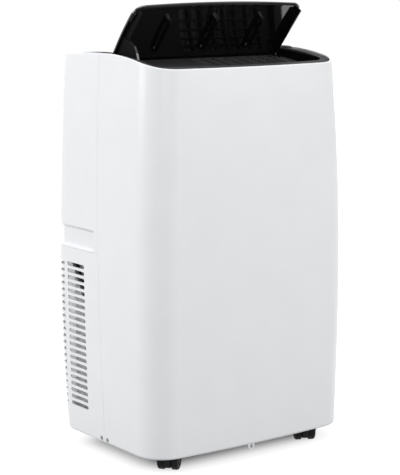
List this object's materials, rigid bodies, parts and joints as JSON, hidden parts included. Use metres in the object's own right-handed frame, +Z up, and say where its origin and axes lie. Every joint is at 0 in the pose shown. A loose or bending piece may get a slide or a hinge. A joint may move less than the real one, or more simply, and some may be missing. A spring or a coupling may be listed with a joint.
{
  "type": "portable_air_conditioner",
  "caption": "White portable air conditioner on casters with a dark top deck, an open air-outlet lid with deflector vanes, a slotted rear intake and a round exhaust collar",
  "frame": {"origin": "On the floor under the middle of the cabinet", "axes": "+Z is up, -Y is the front that the lid opens towards, +X is to the right seen from the front"},
  "size_m": [0.43, 0.33, 0.7877],
  "materials": {
    "white_plastic": "satin white moulded ABS with a fine grain",
    "dark_deck": "dark grey moulded plastic, fine grain",
    "black_gloss": "polished black plastic",
    "black_plastic": "black moulded nylon",
    "black_rubber": "soft black rubber",
    "grey_panel": "light grey button plastic",
    "window_lens": "smoked clear lens",
    "galvanised": "zinc coated sheet steel",
    "steel": "plain steel",
    "aluminium_fin": "thin aluminium fins",
    "copper": "drawn copper tube",
    "foam_sleeve": "black foam pipe sleeve",
    "black_enamel": "black enamelled steel",
    "white_inner": "plain white inner moulding",
    "circuit_board": "green laminate"
  },
  "bodies": {
    "cabinet": {"base_pan": "black_plastic", "front_cover": "white_plastic", "rear_cover": "white_plastic", "lower_rear_cover": "white_plastic", "top_deck": "dark_deck", "outlet_grille": "black_plastic", "lid_motor": "galvanised", "control_panel": "black_gloss", "display_window": "window_lens", "display_board": "circuit_board", "partition_tray": "white_inner", "evaporator_coil": "aluminium_fin", "evaporator_scroll": "white_inner", "evaporator_fan_motor": "galvanised", "condenser_coil": "aluminium_fin", "condenser_scroll": "white_inner", "condenser_fan_motor": "galvanised", "exhaust_duct": "white_inner", "exhaust_collar": "black_plastic", "compressor": "black_enamel", "compressor_grommets": "black_rubber", "copper_pipes": "copper", "suction_pipe": "foam_sleeve", "condensate_hose": "black_rubber", "control_box": "white_inner", "cord_gland": "black_plastic", "cover_screws": "steel"},
    "lid": {"lid": "black_gloss", "lid_motor_shaft": "steel", "lid_pivot_pin": "steel"},
    "vane_left": {"vane_left": "black_plastic"},
    "vane_centre": {"vane_centre": "black_plastic"},
    "vane_right": {"vane_right": "black_plastic"},
    "filter": {"filter_grille": "white_plastic", "filter_frame": "black_plastic"},
    "drain_plug_lower": {"drain_plug_lower": "black_rubber"},
    "drain_plug_upper": {"drain_plug_upper": "black_rubber"},
    "cool_fan": {"evaporator_fan_wheel": "black_plastic"},
    "warm_fan": {"condenser_fan_wheel": "black_plastic"},
    "button_power": {"button_power": "grey_panel"},
    "button_mode": {"button_mode": "grey_panel"},
    "button_fan": {"button_fan": "grey_panel"},
    "button_minus": {"button_minus": "grey_panel"},
    "button_plus": {"button_plus": "grey_panel"},
    "caster_front_left": {"caster_housing_front_left": "black_plastic", "caster_axle_front_left": "steel"},
    "wheel_a_front_left": {"caster_wheel_a_front_left": "black_plastic"},
    "wheel_b_front_left": {"caster_wheel_b_front_left": "black_plastic"},
    "caster_front_right": {"caster_housing_front_right": "black_plastic", "caster_axle_front_right": "steel"},
    "wheel_a_front_right": {"caster_wheel_a_front_right": "black_plastic"},
    "wheel_b_front_right": {"caster_wheel_b_front_right": "black_plastic"},
    "caster_rear_left": {"caster_housing_rear_left": "black_plastic", "caster_axle_rear_left": "steel"},
    "wheel_a_rear_left": {"caster_wheel_a_rear_left": "black_plastic"},
    "wheel_b_rear_left": {"caster_wheel_b_rear_left": "black_plastic"},
    "caster_rear_right": {"caster_housing_rear_right": "black_plastic", "caster_axle_rear_right": "steel"},
    "wheel_a_rear_right": {"caster_wheel_a_rear_right": "black_plastic"},
    "wheel_b_rear_right": {"caster_wheel_b_rear_right": "black_plastic"}
  },
  "joints": [
    {"name": "lid_hinge", "type": "hinge", "parent": "cabinet", "child": "lid", "pos_m": [0, 0.0015, 0.6805], "axis": [-1, 0, 0], "range_deg": [-57.5, 8]},
    {"name": "vane_left_pivot", "type": "hinge", "parent": "lid", "child": "vane_left", "pos_m": [-0.1, 0.00012, 0.70511], "axis": [0, -0.6338, 0.7735], "range_deg": [-35, 35]},
    {"name": "vane_centre_pivot", "type": "hinge", "parent": "lid", "child": "vane_centre", "pos_m": [0, 0.00012, 0.70511], "axis": [0, -0.6338, 0.7735], "range_deg": [-35, 35]},
    {"name": "vane_right_pivot", "type": "hinge", "parent": "lid", "child": "vane_right", "pos_m": [0.1, 0.00012, 0.70511], "axis": [0, -0.6338, 0.7735], "range_deg": [-35, 35]},
    {"name": "filter_pull", "type": "slide", "parent": "cabinet", "child": "filter", "axis": [0, 1, 0], "range_m": [0, 0.08]},
    {"name": "drain_plug_lower_pull", "type": "slide", "parent": "cabinet", "child": "drain_plug_lower", "axis": [0, 1, 0], "range_m": [0, 0.03]},
    {"name": "drain_plug_upper_pull", "type": "slide", "parent": "cabinet", "child": "drain_plug_upper", "axis": [0, 1, 0], "range_m": [0, 0.03]},
    {"name": "cool_fan_spin", "type": "hinge", "parent": "cabinet", "child": "cool_fan", "pos_m": [0.075, -0.05, 0.582], "axis": [0, 1, 0], "continuous": true},
    {"name": "warm_fan_spin", "type": "hinge", "parent": "cabinet", "child": "warm_fan", "pos_m": [0.03, 0.048, 0.205], "axis": [0, 1, 0], "continuous": true},
    {"name": "press_power", "type": "slide", "parent": "cabinet", "child": "button_power", "axis": [0, 0, -1], "range_m": [0, 0.0012], "stiffness_N_per_m": 900},
    {"name": "press_mode", "type": "slide", "parent": "cabinet", "child": "button_mode", "axis": [0, 0, -1], "range_m": [0, 0.0012], "stiffness_N_per_m": 900},
    {"name": "press_fan", "type": "slide", "parent": "cabinet", "child": "button_fan", "axis": [0, 0, -1], "range_m": [0, 0.0012], "stiffness_N_per_m": 900},
    {"name": "press_minus", "type": "slide", "parent": "cabinet", "child": "button_minus", "axis": [0, 0, -1], "range_m": [0, 0.0012], "stiffness_N_per_m": 900},
    {"name": "press_plus", "type": "slide", "parent": "cabinet", "child": "button_plus", "axis": [0, 0, -1], "range_m": [0, 0.0012], "stiffness_N_per_m": 900},
    {"name": "swivel_front_left", "type": "hinge", "parent": "cabinet", "child": "caster_front_left", "pos_m": [-0.148, -0.11, 0.045], "axis": [0, 0, 1], "continuous": true},
    {"name": "roll_a_front_left", "type": "hinge", "parent": "caster_front_left", "child": "wheel_a_front_left", "pos_m": [-0.15766, -0.1187, 0.019], "axis": [-0.6691, 0.7431, 0], "continuous": true},
    {"name": "roll_b_front_left", "type": "hinge", "parent": "caster_front_left", "child": "wheel_b_front_left", "pos_m": [-0.15766, -0.1187, 0.019], "axis": [-0.6691, 0.7431, 0], "continuous": true},
    {"name": "swivel_front_right", "type": "hinge", "parent": "cabinet", "child": "caster_front_right", "pos_m": [0.148, -0.11, 0.045], "axis": [0, 0, 1], "continuous": true},
    {"name": "roll_a_front_right", "type": "hinge", "parent": "caster_front_right", "child": "wheel_a_front_right", "pos_m": [0.1415, -0.12126, 0.019], "axis": [-0.866, 0.5, 0], "continuous": true},
    {"name": "roll_b_front_right", "type": "hinge", "parent": "caster_front_right", "child": "wheel_b_front_right", "pos_m": [0.1415, -0.12126, 0.019], "axis": [-0.866, 0.5, 0], "continuous": true},
    {"name": "swivel_rear_left", "type": "hinge", "parent": "cabinet", "child": "caster_rear_left", "pos_m": [-0.148, 0.095, 0.045], "axis": [0, 0, 1], "continuous": true},
    {"name": "roll_a_rear_left", "type": "hinge", "parent": "caster_rear_left", "child": "wheel_a_rear_left", "pos_m": [-0.1352, 0.09726, 0.019], "axis": [0.1736, -0.9848, 0], "continuous": true},
    {"name": "roll_b_rear_left", "type": "hinge", "parent": "caster_rear_left", "child": "wheel_b_rear_left", "pos_m": [-0.1352, 0.09726, 0.019], "axis": [0.1736, -0.9848, 0], "continuous": true},
    {"name": "swivel_rear_right", "type": "hinge", "parent": "cabinet", "child": "caster_rear_right", "pos_m": [0.148, 0.095, 0.045], "axis": [0, 0, 1], "continuous": true},
    {"name": "roll_a_rear_right", "type": "hinge", "parent": "caster_rear_right", "child": "wheel_a_rear_right", "pos_m": [0.15546, 0.10565, 0.019], "axis": [0.8192, -0.5736, 0], "continuous": true},
    {"name": "roll_b_rear_right", "type": "hinge", "parent": "caster_rear_right", "child": "wheel_b_rear_right", "pos_m": [0.15546, 0.10565, 0.019], "axis": [0.8192, -0.5736, 0], "continuous": true}
  ]
}
